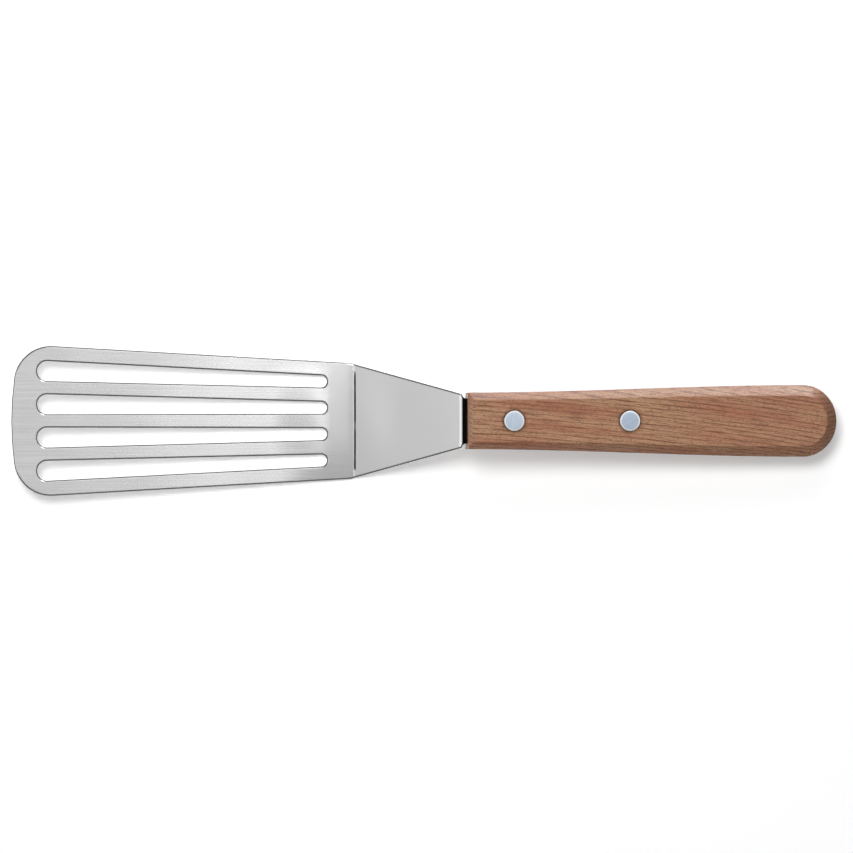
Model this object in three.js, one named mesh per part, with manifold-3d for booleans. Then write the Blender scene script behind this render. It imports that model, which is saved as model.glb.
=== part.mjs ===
// Slotted offset spatula. One steel sheet makes the slotted blade, the rising neck and a half tang.
// The tang sits in a saw kerf of a one-piece wooden handle, and two two-piece rivets hold it there.
// Millimetres, +Z up. The tool lies at rest, on the heel of its blade and the butt of its handle.
import * as THREE from 'three';
import { mergeVertices } from 'three/addons/utils/BufferGeometryUtils.js';
import Module from 'manifold-3d';

// Blade, seen from above
const BLADE_LENGTH = 116.5; // tip edge to the first bend line
const BLADE_TIP_WIDTH = 52.4; // between the side edges, produced to the tip
const BLADE_HEEL_WIDTH = 39.4; // at the first bend line
const TIP_EDGE_RADIUS = 110; // the slightly bowed front edge
const TIP_CORNER_RADIUS = 12.5;

// Drain slots, which taper as the blade does
const SLOT_COUNT = 4;
const SLOT_TIP_CENTRE = 12.1; // tip edge to the centre of a slot's wide end
const SLOT_HEEL_CENTRE = 11.4; // bend line to the centre of a slot's narrow end
const RIM_TIP_WIDTH = 5.2; // outer bar, at the slots' wide ends
const RIM_HEEL_WIDTH = 4.8;
const BAR_TIP_WIDTH = 4.5; // bar between two slots, at their wide ends
const BAR_HEEL_WIDTH = 4.9;

// Sheet and bends, seen from the side
const SHEET_THICKNESS = 1.5; // heel, neck and tang
const TIP_THICKNESS = 0.9; // the blade is ground thinner towards its tip
const BEND_RADIUS = 1.2; // inside radius of both bends
const NECK_RUN = 35; // first bend line to the second, along the tool
const NECK_RISE = 20;
const NECK_END_WIDTH = 18.1;
const HEEL_CORNER_SETBACK = 1.3; // the side edges turn in this far ahead of the first bend line
const RELIEF_RADIUS = 1.35; // round bend relief where the neck meets the handle

// Tang
const TANG_PAST_RIVET = 12; // rear rivet to the tang's end
const TANG_INSET = 0.25; // tang edge below the side of the handle

// Handle
const HANDLE_GAP = 1.4; // second bend line to the front of the handle
const HANDLE_LENGTH = 125.7;
const HANDLE_THICKNESS = 15;
const HANDLE_FRONT_WIDTH = 19.1;
const HANDLE_REAR_WIDTH = 24.3;
const BUTT_LENGTH = 11.5; // the rounded end, which is a little fuller than a half circle
const BEVEL_DEPTH = 3.1; // how far the bevel reaches down the side
const SIDE_BEVEL_FRONT = 2.4; // width of the bevel, seen from above
const SIDE_BEVEL_REAR = 3.7;
const FRONT_BEVEL = 1.5;
const BEVEL_START_ANGLE = THREE.MathUtils.degToRad(26); // slope where the bevel leaves the flat
const BEVEL_END_ANGLE = THREE.MathUtils.degToRad(86); // slope where it meets the side
const SAW_RADIUS = 60; // the kerf ends in the curve of the saw
const KERF_CLEARANCE = 0.2; // kerf to tang, on each face and at the end

// Rivets
const FRONT_RIVET_FROM_FRONT = 15.7;
const RIVET_SPACING = 39.2;
const RIVET_HEAD_DIAMETER = 7;
const RIVET_HEAD_HEIGHT = 2;
const RIVET_HEAD_CHAMFER = 0.45;
const RIVET_SET = 0.05; // head face below the face of the handle
const SLEEVE_DIAMETER = 4.8;
const SLEEVE_WALL = 0.8;
const SLEEVE_FLOOR = 0.5; // metal between the blind bore and the head's seat
const RIVET_CLEARANCE = 0.15; // round the shank and the head
const RIVET_END_CLEARANCE = 0.2; // under a head and at the end of a shank

// Facets
const ARC_STEP = THREE.MathUtils.degToRad(9);
const HANDLE_STATIONS = 18;
const TANG_STATIONS = 8;
const BEVEL_STEPS = 5;
const RIVET_SIDES = 40;
const MERGE_DISTANCE = 1e-4;
const OVERSHOOT = 4; // how far a cutting shape reaches past what it cuts

// Sizes worked out from the driving dimensions
const neckSlope = Math.atan2(NECK_RISE, NECK_RUN);
const midBendRadius = BEND_RADIUS + SHEET_THICKNESS / 2;
const outerBendRadius = BEND_RADIUS + SHEET_THICKNESS;
const bendSetback = midBendRadius * Math.tan(neckSlope / 2);
const tangMidHeight = SHEET_THICKNESS / 2 + NECK_RISE;
const heelBend = new THREE.Vector2(-bendSetback, outerBendRadius);
const neckBend = new THREE.Vector2(NECK_RUN + bendSetback, tangMidHeight - midBendRadius);
const bladeTaper = (BLADE_TIP_WIDTH - BLADE_HEEL_WIDTH) / 2 / BLADE_LENGTH;
const handleFront = NECK_RUN + HANDLE_GAP;
const buttRadius = HANDLE_REAR_WIDTH / 2;
const buttCentre = HANDLE_LENGTH - BUTT_LENGTH;
const rivetPlaces = [FRONT_RIVET_FROM_FRONT, FRONT_RIVET_FROM_FRONT + RIVET_SPACING];
const tangLength = FRONT_RIVET_FROM_FRONT + RIVET_SPACING + TANG_PAST_RIVET;
const kerfLength = tangLength + KERF_CLEARANCE;
const kerfArcCentre = kerfLength - SAW_RADIUS;
const rivetHeadTop = HANDLE_THICKNESS / 2 - RIVET_SET;
const rivetHeadSeat = rivetHeadTop - RIVET_HEAD_HEIGHT;

const wasm = await Module();
wasm.setup();

// A closed geometry as a solid that can be joined and cut.
function solidOf(geometry) {
  const bare = geometry.clone();
  for (const name of Object.keys(bare.attributes)) {
    if (name !== 'position') bare.deleteAttribute(name);
  }
  const merged = mergeVertices(bare, MERGE_DISTANCE);
  const corners = merged.index.array;
  const kept = [];
  for (let i = 0; i < corners.length; i += 3) {
    const [a, b, c] = corners.slice(i, i + 3);
    if (a !== b && b !== c && c !== a) kept.push(a, b, c);
  }
  return new wasm.Manifold(new wasm.Mesh({
    numProp: 3,
    vertProperties: merged.attributes.position.array,
    triVerts: new Uint32Array(kept),
  }));
}

// A solid back as a geometry.
function geometryOf(solid) {
  const mesh = solid.getMesh();
  const geometry = new THREE.BufferGeometry();
  geometry.setAttribute('position', new THREE.BufferAttribute(mesh.vertProperties, 3));
  geometry.setIndex(new THREE.BufferAttribute(mesh.triVerts, 1));
  geometry.computeVertexNormals();
  return geometry;
}

// Points on an arc, both ends included. A second radius, along y, makes it an arc of an ellipse.
function arcPoints(centre, radius, from, to, radiusY = radius) {
  const steps = Math.max(1, Math.ceil(Math.abs(to - from) / ARC_STEP));
  const points = [];
  for (let i = 0; i <= steps; i += 1) {
    const angle = from + (to - from) * (i / steps);
    points.push(new THREE.Vector2(
      centre.x + radius * Math.cos(angle),
      centre.y + radiusY * Math.sin(angle),
    ));
  }
  return points;
}

// A solid with the given outline in the XY plane, from one height to another.
function prism(shape, bottom, top) {
  const geometry = new THREE.ExtrudeGeometry(shape, { depth: top - bottom, bevelEnabled: false });
  return solidOf(geometry.translate(0, 0, bottom));
}

// A solid of revolution about Z, from a profile of [radius, height] pairs that ends on the axis.
function turned(profile) {
  const points = profile.map(([radius, height]) => new THREE.Vector2(radius, height));
  return solidOf(new THREE.LatheGeometry(points, RIVET_SIDES).rotateX(Math.PI / 2));
}

// Half the blade's width at a place along it, where x is 0 at the bend line and negative on the blade.
function bladeHalfWidth(x) {
  return BLADE_HEEL_WIDTH / 2 - x * bladeTaper;
}

// Half the handle's width at a distance from its front.
function handleHalfWidth(x) {
  const share = THREE.MathUtils.smoothstep(x, 0, buttCentre);
  return THREE.MathUtils.lerp(HANDLE_FRONT_WIDTH, HANDLE_REAR_WIDTH, share) / 2;
}

// Width of the handle's bevel at a distance from its front.
function sideBevel(x) {
  return THREE.MathUtils.lerp(SIDE_BEVEL_FRONT, SIDE_BEVEL_REAR, x / buttCentre);
}

// Upper half of the tip's outline: half of the bowed front edge and one round corner.
function tipOutline() {
  const front = new THREE.Vector2(TIP_EDGE_RADIUS - BLADE_LENGTH, 0);
  const sideAngle = Math.atan(bladeTaper);
  // The corner's centre lies its radius inside both the side edge and the front edge.
  const reach = TIP_EDGE_RADIUS - TIP_CORNER_RADIUS;
  const sideAtFront = bladeHalfWidth(front.x) - TIP_CORNER_RADIUS / Math.cos(sideAngle);
  const a = 1 + bladeTaper ** 2;
  const b = -bladeTaper * sideAtFront;
  const c = sideAtFront ** 2 - reach ** 2;
  const along = (-b - Math.sqrt(b ** 2 - a * c)) / a;
  const corner = new THREE.Vector2(front.x + along, sideAtFront - bladeTaper * along);
  const meeting = Math.atan2(corner.y - front.y, corner.x - front.x);
  const sideNormal = Math.PI / 2 - sideAngle;
  return [
    ...arcPoints(front, TIP_EDGE_RADIUS, Math.PI, meeting),
    ...arcPoints(corner, TIP_CORNER_RADIUS, meeting, sideNormal).slice(1),
  ];
}

// Upper half of the tang's outline, which follows the side of the handle and ends in the saw's curve.
function tangOutline() {
  const endRadius = SAW_RADIUS - KERF_CLEARANCE;
  const endHalfWidth = handleHalfWidth(tangLength) - TANG_INSET;
  const endAngle = Math.asin(endHalfWidth / endRadius);
  const last = kerfArcCentre + endRadius * Math.cos(endAngle);
  const points = [];
  for (let i = 0; i < TANG_STATIONS; i += 1) {
    const x = THREE.MathUtils.lerp(RELIEF_RADIUS, last, i / TANG_STATIONS);
    points.push(new THREE.Vector2(handleFront + x, handleHalfWidth(x) - TANG_INSET));
  }
  const arcCentre = new THREE.Vector2(handleFront + kerfArcCentre, 0);
  return [...points, ...arcPoints(arcCentre, endRadius, endAngle, 0)];
}

// Outline of one drain slot, counted from the blade's lower edge.
function slotOutline(index) {
  const ends = [
    { x: SLOT_TIP_CENTRE - BLADE_LENGTH, rim: RIM_TIP_WIDTH, bar: BAR_TIP_WIDTH, from: Math.PI / 2 },
    { x: -SLOT_HEEL_CENTRE, rim: RIM_HEEL_WIDTH, bar: BAR_HEEL_WIDTH, from: -Math.PI / 2 },
  ];
  return ends.flatMap(({ x, rim, bar, from }) => {
    const open = 2 * (bladeHalfWidth(x) - rim) - (SLOT_COUNT - 1) * bar;
    const width = open / SLOT_COUNT;
    const centre = (index - (SLOT_COUNT - 1) / 2) * (width + bar);
    return arcPoints(new THREE.Vector2(x, centre), width / 2, from, from + Math.PI);
  });
}

// The whole sheet from above, with its drain slots and rivet holes.
function sheetPlan() {
  const reliefCentre = new THREE.Vector2(handleFront, NECK_END_WIDTH / 2);
  const upper = [
    ...tipOutline(),
    new THREE.Vector2(-HEEL_CORNER_SETBACK, bladeHalfWidth(-HEEL_CORNER_SETBACK)),
    ...arcPoints(reliefCentre, RELIEF_RADIUS, Math.PI, 2 * Math.PI),
    ...tangOutline(),
  ];
  const lower = upper.slice(1, -1).reverse().map(({ x, y }) => new THREE.Vector2(x, -y));
  const plan = new THREE.Shape([...upper, ...lower]);
  for (let i = 0; i < SLOT_COUNT; i += 1) {
    plan.holes.push(new THREE.Path(slotOutline(i)));
  }
  for (const place of rivetPlaces) {
    const centre = new THREE.Vector2(handleFront + place, 0);
    const hole = arcPoints(centre, SLEEVE_DIAMETER / 2 + RIVET_CLEARANCE, 0, 2 * Math.PI);
    plan.holes.push(new THREE.Path(hole.slice(1)));
  }
  return plan;
}

// The bent sheet from the side, as a shape whose y is the height. It runs past both ends of the plan.
function sheetProfile() {
  const down = -Math.PI / 2;
  const up = Math.PI / 2;
  const half = SHEET_THICKNESS / 2;
  const tipEnd = -BLADE_LENGTH - OVERSHOOT;
  const tangEnd = handleFront + tangLength + OVERSHOOT;
  const thinning = (SHEET_THICKNESS - TIP_THICKNESS) / (BLADE_LENGTH - bendSetback);
  return new THREE.Shape([
    new THREE.Vector2(tipEnd, 0),
    ...arcPoints(heelBend, outerBendRadius, down, down + neckSlope),
    ...arcPoints(neckBend, BEND_RADIUS, up + neckSlope, up),
    new THREE.Vector2(tangEnd, tangMidHeight - half),
    new THREE.Vector2(tangEnd, tangMidHeight + half),
    ...arcPoints(neckBend, outerBendRadius, up, up + neckSlope),
    ...arcPoints(heelBend, BEND_RADIUS, down + neckSlope, down),
    new THREE.Vector2(tipEnd, TIP_THICKNESS - thinning * OVERSHOOT),
  ]);
}

// Blade, neck and tang: what the side profile and the plan have in common.
function makeBlade() {
  const reach = BLADE_TIP_WIDTH;
  const strip = new THREE.ExtrudeGeometry(sheetProfile(), { depth: 2 * reach, bevelEnabled: false });
  strip.rotateX(Math.PI / 2).translate(0, reach, 0);
  const plan = prism(sheetPlan(), -OVERSHOOT, tangMidHeight + OVERSHOOT);
  return geometryOf(solidOf(strip).intersect(plan));
}

// Outline of the handle from above, drawn in by a share of the bevel, as a ring of points at a height.
function handleRing(share, height) {
  const half = [];
  for (let i = 0; i < HANDLE_STATIONS; i += 1) {
    const x = THREE.MathUtils.lerp(share * FRONT_BEVEL, buttCentre, i / HANDLE_STATIONS);
    half.push(new THREE.Vector2(x, handleHalfWidth(x) - share * sideBevel(x)));
  }
  const butt = new THREE.Vector2(buttCentre, 0);
  const drawnIn = share * SIDE_BEVEL_REAR;
  half.push(...arcPoints(butt, BUTT_LENGTH - drawnIn, Math.PI / 2, 0, buttRadius - drawnIn));
  const mirrored = half.slice(0, -1).reverse().map(({ x, y }) => new THREE.Vector2(x, -y));
  return [...half, ...mirrored].map(({ x, y }) => new THREE.Vector3(x, y, height));
}

// A closed solid through rings of equal count, from the highest to the lowest, each clockwise from above.
function stackedRings(rings) {
  const count = rings[0].length;
  const positions = rings.flat().flatMap((p) => p.toArray());
  const faces = [];
  for (let r = 0; r + 1 < rings.length; r += 1) {
    for (let i = 0; i < count; i += 1) {
      const next = (i + 1) % count;
      const [a, b] = [r * count + i, r * count + next];
      faces.push(a, b, a + count, b, b + count, a + count);
    }
  }
  const cap = THREE.ShapeUtils.triangulateShape(rings[0].map(({ x, y }) => new THREE.Vector2(x, y)), []);
  const lowest = (rings.length - 1) * count;
  for (const [a, b, c] of cap) {
    faces.push(a, b, c, lowest + a, lowest + c, lowest + b);
  }
  const geometry = new THREE.BufferGeometry();
  geometry.setAttribute('position', new THREE.Float32BufferAttribute(positions, 3));
  return geometry.setIndex(faces);
}

// The handle before it is cut: a flat board with a rounded bevel all round its upper and lower edges.
function handleBlank() {
  const [start, end] = [BEVEL_START_ANGLE, BEVEL_END_ANGLE];
  const upper = [];
  for (let i = 0; i <= BEVEL_STEPS; i += 1) {
    const angle = THREE.MathUtils.lerp(start, end, i / BEVEL_STEPS);
    const out = (Math.sin(angle) - Math.sin(start)) / (Math.sin(end) - Math.sin(start));
    const down = (Math.cos(start) - Math.cos(angle)) / (Math.cos(start) - Math.cos(end));
    upper.push({ share: 1 - out, height: HANDLE_THICKNESS / 2 - down * BEVEL_DEPTH });
  }
  const lower = upper.slice().reverse().map(({ share, height }) => ({ share, height: -height }));
  return stackedRings([...upper, ...lower].map(({ share, height }) => handleRing(share, height)));
}

// The saw kerf for the tang, open at the front and at both sides.
function kerfCutter() {
  const across = HANDLE_REAR_WIDTH / 2 + OVERSHOOT;
  const half = SHEET_THICKNESS / 2 + KERF_CLEARANCE;
  const endAngle = Math.asin(across / SAW_RADIUS);
  const outline = [
    new THREE.Vector2(-OVERSHOOT, -across),
    ...arcPoints(new THREE.Vector2(kerfArcCentre, 0), SAW_RADIUS, -endAngle, endAngle),
    new THREE.Vector2(-OVERSHOOT, across),
  ];
  return prism(new THREE.Shape(outline), -half, half);
}

// A stepped hole for one rivet: a recess for each head and a bore for the shank between them.
function rivetCutter() {
  const head = RIVET_HEAD_DIAMETER / 2 + RIVET_CLEARANCE;
  const bore = SLEEVE_DIAMETER / 2 + RIVET_CLEARANCE;
  const seat = rivetHeadSeat - RIVET_END_CLEARANCE;
  const past = HANDLE_THICKNESS / 2 + OVERSHOOT;
  return turned([
    [0, -past], [head, -past], [head, -seat], [bore, -seat],
    [bore, seat], [head, seat], [head, past], [0, past],
  ]);
}

// Wooden handle in its own frame: x from its front, height from the middle of the tang.
function makeHandle() {
  let handle = solidOf(handleBlank()).subtract(kerfCutter());
  for (const place of rivetPlaces) {
    handle = handle.subtract(rivetCutter().translate([place, 0, 0]));
  }
  return geometryOf(handle);
}

// Rivet post: a head with a solid shank, driven from above into the sleeve.
function makeRivetPost() {
  const head = RIVET_HEAD_DIAMETER / 2;
  const shank = SLEEVE_DIAMETER / 2 - SLEEVE_WALL - RIVET_CLEARANCE;
  const end = SLEEVE_FLOOR + RIVET_END_CLEARANCE - rivetHeadSeat;
  return geometryOf(turned([
    [0, end], [shank, end], [shank, rivetHeadSeat], [head, rivetHeadSeat],
    [head, rivetHeadTop - RIVET_HEAD_CHAMFER], [head - RIVET_HEAD_CHAMFER, rivetHeadTop], [0, rivetHeadTop],
  ]));
}

// Rivet sleeve: a head with a tubular shank, set from below.
function makeRivetSleeve() {
  const head = RIVET_HEAD_DIAMETER / 2;
  const tube = SLEEVE_DIAMETER / 2;
  const bore = tube - SLEEVE_WALL;
  const mouth = rivetHeadSeat - RIVET_END_CLEARANCE;
  const floor = SLEEVE_FLOOR - rivetHeadSeat;
  return geometryOf(turned([
    [0, -rivetHeadTop], [head - RIVET_HEAD_CHAMFER, -rivetHeadTop], [head, RIVET_HEAD_CHAMFER - rivetHeadTop],
    [head, -rivetHeadSeat], [tube, -rivetHeadSeat], [tube, mouth], [bore, mouth], [bore, floor], [0, floor],
  ]));
}

// Angle by which the tool tips back until the butt of the handle meets what the heel stands on.
function restTilt() {
  const butt = new THREE.Vector2(
    handleFront + HANDLE_LENGTH - SIDE_BEVEL_REAR,
    tangMidHeight - HANDLE_THICKNESS / 2,
  );
  const fromButt = new THREE.Vector2(butt.x - heelBend.x, heelBend.y - butt.y);
  return Math.atan2(fromButt.x, fromButt.y) - Math.acos(outerBendRadius / fromButt.length());
}

const steel = new THREE.MeshStandardMaterial({ color: 0xc9c9c9, roughness: 0.32, metalness: 1 });
const cherry = new THREE.MeshStandardMaterial({ color: 0x9b7158, roughness: 0.5, metalness: 0 });
const aluminium = new THREE.MeshStandardMaterial({ color: 0xbcc6d0, roughness: 0.35, metalness: 1 });

function namedMesh(name, geometry, material) {
  const mesh = new THREE.Mesh(geometry, material);
  mesh.name = name;
  return mesh;
}

const grip = new THREE.Group();
grip.position.set(handleFront, 0, tangMidHeight);
grip.add(namedMesh('handle', makeHandle(), cherry));
['front', 'rear'].forEach((end, i) => {
  const rivet = new THREE.Group();
  rivet.position.x = rivetPlaces[i];
  rivet.add(namedMesh(`${end}_rivet_post`, makeRivetPost(), aluminium));
  rivet.add(namedMesh(`${end}_rivet_sleeve`, makeRivetSleeve(), aluminium));
  grip.add(rivet);
});

const tool = new THREE.Group();
tool.add(namedMesh('blade', makeBlade(), steel), grip);
tool.rotation.y = restTilt();

// The origin is under the middle of the tool, on the surface that it lies on.
const bounds = new THREE.Box3().setFromObject(tool, true);
const middle = bounds.getCenter(new THREE.Vector3());
tool.position.set(-middle.x, -middle.y, -bounds.min.z);

const spatula = new THREE.Group();
spatula.add(tool);

export default spatula;
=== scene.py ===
"""Looks of a slotted offset spatula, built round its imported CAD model.

Sizes are millimetres in the tool's own frame: x runs along the tool, is 0 at the blade's bend line and
negative on the blade, y runs across it, and z is the height above the blade's underside. ToolFrame carries
that frame into the part's frame, in metres, where the tool lies at rest on the heel of its blade and the butt
of its handle.
"""

import logging
import math
from collections.abc import Iterable, Sequence
from dataclasses import dataclass, field
from enum import Enum

import bmesh
import bpy
from mathutils import Matrix, Vector
from mathutils.geometry import delaunay_2d_cdt

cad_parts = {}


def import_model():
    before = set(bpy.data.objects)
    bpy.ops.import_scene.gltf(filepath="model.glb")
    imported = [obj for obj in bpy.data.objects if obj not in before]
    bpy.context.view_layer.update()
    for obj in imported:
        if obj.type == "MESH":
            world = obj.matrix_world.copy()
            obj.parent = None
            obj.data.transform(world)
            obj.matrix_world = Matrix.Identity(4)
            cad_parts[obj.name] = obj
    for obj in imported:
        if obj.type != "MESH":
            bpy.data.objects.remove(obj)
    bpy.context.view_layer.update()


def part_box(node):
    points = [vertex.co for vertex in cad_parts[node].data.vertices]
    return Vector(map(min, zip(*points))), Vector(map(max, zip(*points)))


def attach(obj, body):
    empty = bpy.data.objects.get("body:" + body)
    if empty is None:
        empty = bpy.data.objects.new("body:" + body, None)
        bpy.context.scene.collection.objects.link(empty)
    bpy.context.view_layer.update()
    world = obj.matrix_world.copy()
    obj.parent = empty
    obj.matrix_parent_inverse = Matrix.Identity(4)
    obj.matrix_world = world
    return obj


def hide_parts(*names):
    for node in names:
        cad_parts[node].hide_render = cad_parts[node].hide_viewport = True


LOG = logging.getLogger("spatula")
MM = 0.001
TOOL_COORDINATES = "tool_mm"  # mesh attribute with each point's place in the tool's frame
ACROSS_BRUSHING = "across_brushing"  # UV map whose first axis runs across the brush lines
UNROLLED_UNIT = 50.0  # millimetres of the unrolled sheet in one unit of that map
ARC_STEP = math.radians(4)
SHORT_SIDE = 0.3  # sides of an outline up to this length are not cut
LEAST_RUN = 1e-6  # sides that run less than this along x cross no station
END_SHARE = 0.001  # no cut is made in this share of a side at either end
LEAST_MITRE = 0.6  # keeps the mitre of a sharp corner short
WELD = 1e-4  # points of a shape closer than this become one
FILL_WELD = 1e-5  # the same in the fill of a face
PROBE = 0.01  # half the distance over which a slope is measured
NOISE_SPAN = (0.3, 0.7)  # most of a noise's values lie in this range
LEVEL = Vector((1.0, 1.0, 0.0))  # leaves the level part of a place
WHITE = "#ffffff"

Colour = tuple[float, float, float, float]
Point = tuple[float, float, float]
Span = tuple[float, float]
Source = bpy.types.Node | bpy.types.NodeSocket


def linear(hex_colour: str) -> Colour:
    """Turns an sRGB colour into linear light.

    Args:
        hex_colour: A hash sign and six hex digits.

    Returns:
        Linear red, green and blue, and an alpha of 1.
    """
    channels = [int(hex_colour[i:i + 2], 16) / 255 for i in (1, 3, 5)]
    red, green, blue = (c / 12.92 if c <= 0.04045 else ((c + 0.055) / 1.055) ** 2.4 for c in channels)
    return red, green, blue, 1.0


def add_node(tree: bpy.types.NodeTree, kind: str, inputs: dict[str, object] | Sequence[object] = (),
             **settings: object) -> bpy.types.Node:
    """Adds a node with its settings, and links or sets its inputs.

    Args:
        tree: The node tree that takes the node.
        kind: The node's type, without its ShaderNode prefix.
        inputs: What goes into the inputs, by their names or in the order of those in use: a node, whose
            first output in use is taken, one output of a node, or a plain value.
        **settings: The node's own properties.

    Returns:
        The new node.
    """
    node = tree.nodes.new("ShaderNode" + kind)
    for name, value in settings.items():
        setattr(node, name, value)
    if not isinstance(inputs, dict):
        in_use = [i for i, socket in enumerate(node.inputs) if socket.enabled]
        inputs = dict(zip(in_use, inputs))
    for key, value in inputs.items():
        if isinstance(value, bpy.types.Node):
            value = next(output for output in value.outputs if output.enabled)
        if isinstance(value, bpy.types.NodeSocket):
            tree.links.new(value, node.inputs[key])
        else:
            node.inputs[key].default_value = value
    return node


def new_material(name: str) -> tuple[bpy.types.Material, bpy.types.NodeTree]:
    """Makes an empty node material.

    Args:
        name: The material's name.

    Returns:
        The material and its cleared node tree.
    """
    material = bpy.data.materials.new(name)
    material.use_nodes = True
    material.node_tree.nodes.clear()
    return material, material.node_tree


def drawn_noise(tree: bpy.types.NodeTree, place: Source, length: float, width: float, detail: float,
                deep: bool = True) -> bpy.types.Node:
    """Noise whose marks are drawn out along x.

    Args:
        tree: The node tree that takes it.
        place: The place, in millimetres.
        length: Length of the marks.
        width: Their width.
        detail: How many finer layers the noise has.
        deep: Whether the marks change with the height as well.

    Returns:
        The node that gives the noise.
    """
    scale = (1 / length, 1 / width, 1 / width if deep else 0.0)
    drawn = add_node(tree, "VectorMath", (place, scale), operation="MULTIPLY")
    return add_node(tree, "TexNoise", {"Vector": drawn, "Scale": 1.0, "Detail": detail})


def smoothstep(value: float, low: float, high: float) -> float:
    """Eases from 0 at the low value to 1 at the high one."""
    share = min(1.0, max(0.0, (value - low) / (high - low)))
    return share * share * (3 - 2 * share)


def lerp(start: float, end: float, share: float) -> float:
    """Goes from start to end by a share."""
    return start + (end - start) * share


def arc(centre: Vector, radius: float, start: float, end: float,
        radius_y: float | None = None) -> list[Vector]:
    """Points on an arc of a circle, or of an ellipse, both ends included.

    Args:
        centre: The arc's centre.
        radius: Its radius, or its half axis along x.
        start: The angle of its first point, in radians.
        end: The angle of its last point.
        radius_y: The half axis along y, where that differs.

    Returns:
        The points in order.
    """
    across = radius if radius_y is None else radius_y
    steps = max(2, math.ceil(abs(end - start) / ARC_STEP))
    angles = [lerp(start, end, i / steps) for i in range(steps + 1)]
    return [centre + Vector((radius * math.cos(a), across * math.sin(a))) for a in angles]


def divided(loop: Sequence[Vector], longest: float, stations: Iterable[float] = ()) -> list[Vector]:
    """Cuts a closed outline into short sides.

    Args:
        loop: The outline's corners.
        longest: The greatest length that a side keeps.
        stations: Places along x where every crossing side is cut too.

    Returns:
        The corners of the finer outline.
    """
    fine: list[Vector] = []
    for here, there in zip(loop, [*loop[1:], loop[0]]):
        side = there - here
        count = max(1, math.ceil(side.length / longest))
        shares = {i / count for i in range(count)}
        if side.length > SHORT_SIDE and abs(side.x) > LEAST_RUN:
            cuts = ((x - here.x) / side.x for x in stations)
            shares |= {s for s in cuts if END_SHARE < s < 1 - END_SHARE}
        fine.extend(here + side * s for s in sorted(shares))
    return fine


def outward(loop: Sequence[Vector]) -> list[Vector]:
    """Mitred normals of a closed outline, to the right of its direction of travel.

    Args:
        loop: The outline's corners.

    Returns:
        One vector for each corner, long enough to keep both of its sides at distance 1.
    """
    normals = []
    for before, here, after in zip([loop[-1], *loop[:-1]], loop, [*loop[1:], loop[0]]):
        first, second = (here - before).normalized(), (after - here).normalized()
        one, two = Vector((first.y, -first.x)), Vector((second.y, -second.x))
        middle = (one + two).normalized()
        normals.append(middle / max(LEAST_MITRE, middle.dot(one)))
    return normals


class Face(Enum):
    """The two faces of the sheet, by the way that they look."""

    TOP = 1
    UNDERSIDE = -1


class RivetPlace(Enum):
    """The two rivets, from the front of the handle."""

    FRONT = "front"
    REAR = "rear"


class RivetHalf(Enum):
    """The two pieces of a cutler's rivet, by the side that their head shows on."""

    POST = 1
    SLEEVE = -1


@dataclass(frozen=True)
class SheetProfile:
    """The bent sheet from the side."""

    blade_length: float = 116.5
    thickness: float = 1.5
    tip_thickness: float = 0.9
    bend_radius: float = 1.2
    neck_run: float = 35.0
    neck_rise: float = 20.0
    bend_steps: int = 8

    @property
    def slope(self) -> float:
        """Angle of the neck above the blade."""
        return math.atan2(self.neck_rise, self.neck_run)

    @property
    def outer_radius(self) -> float:
        """Radius on the outside of both bends."""
        return self.bend_radius + self.thickness

    @property
    def tang_height(self) -> float:
        """Height of the middle of the tang."""
        return self.thickness / 2 + self.neck_rise

    @property
    def heel_bend(self) -> Vector:
        """Centre of the bend between blade and neck, as x and height."""
        return Vector((-self._setback(), self.outer_radius))

    @property
    def neck_bend(self) -> Vector:
        """Centre of the bend between neck and tang, as x and height."""
        middle = self.bend_radius + self.thickness / 2
        return Vector((self.neck_run + self._setback(), self.tang_height - middle))

    def _setback(self) -> float:
        """Distance from a bend line to where its arc begins on the flat sheet."""
        return (self.bend_radius + self.thickness / 2) * math.tan(self.slope / 2)

    def bend_radii(self, face: Face) -> Span:
        """Radii of the heel's and the neck's bend on one face."""
        radii = self.bend_radius, self.outer_radius
        return radii if face is Face.TOP else radii[::-1]

    def section(self, face: Face, x: float) -> float:
        """Height of one face of the sheet.

        Args:
            face: The face.
            x: The place along the tool.

        Returns:
            The height above the blade's underside.
        """
        heel, neck = self.heel_bend, self.neck_bend
        heel_radius, neck_radius = self.bend_radii(face)
        heel_end = heel.x + heel_radius * math.sin(self.slope)
        if x <= heel.x:
            thinning = (self.thickness - self.tip_thickness) / (self.blade_length + heel.x)
            return heel.y - heel_radius - (thinning * (heel.x - x) if face is Face.TOP else 0.0)
        if x < heel_end:
            return heel.y - math.sqrt(heel_radius ** 2 - (x - heel.x) ** 2)
        if x < neck.x - neck_radius * math.sin(self.slope):
            return heel.y - heel_radius * math.cos(self.slope) + (x - heel_end) * math.tan(self.slope)
        if x < neck.x:
            return neck.y + math.sqrt(neck_radius ** 2 - (x - neck.x) ** 2)
        return neck.y + neck_radius

    def stations(self, face: Face) -> list[float]:
        """Places along the tool where one face turns in its two bends.

        Args:
            face: The face of the sheet.

        Returns:
            The places, from the heel on.
        """
        heel_radius, neck_radius = self.bend_radii(face)
        turns = [math.sin(self.slope * i / self.bend_steps) for i in range(self.bend_steps + 1)]
        heel = [self.heel_bend.x + heel_radius * t for t in turns]
        return heel + [self.neck_bend.x - neck_radius * t for t in reversed(turns)]


@dataclass(frozen=True)
class ToolFrame:
    """Where the tool lies in the part's frame."""

    tilt: float
    shift: Vector

    @property
    def matrix(self) -> Matrix:
        """Carries millimetres of the tool's frame into metres of the part's frame."""
        return Matrix.Translation(self.shift) @ Matrix.Rotation(self.tilt, 4, "Y") @ Matrix.Scale(MM, 4)

    @property
    def turn(self) -> Matrix:
        """Carries directions of the tool's frame into the part's frame."""
        return Matrix.Rotation(self.tilt, 3, "Y")


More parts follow.
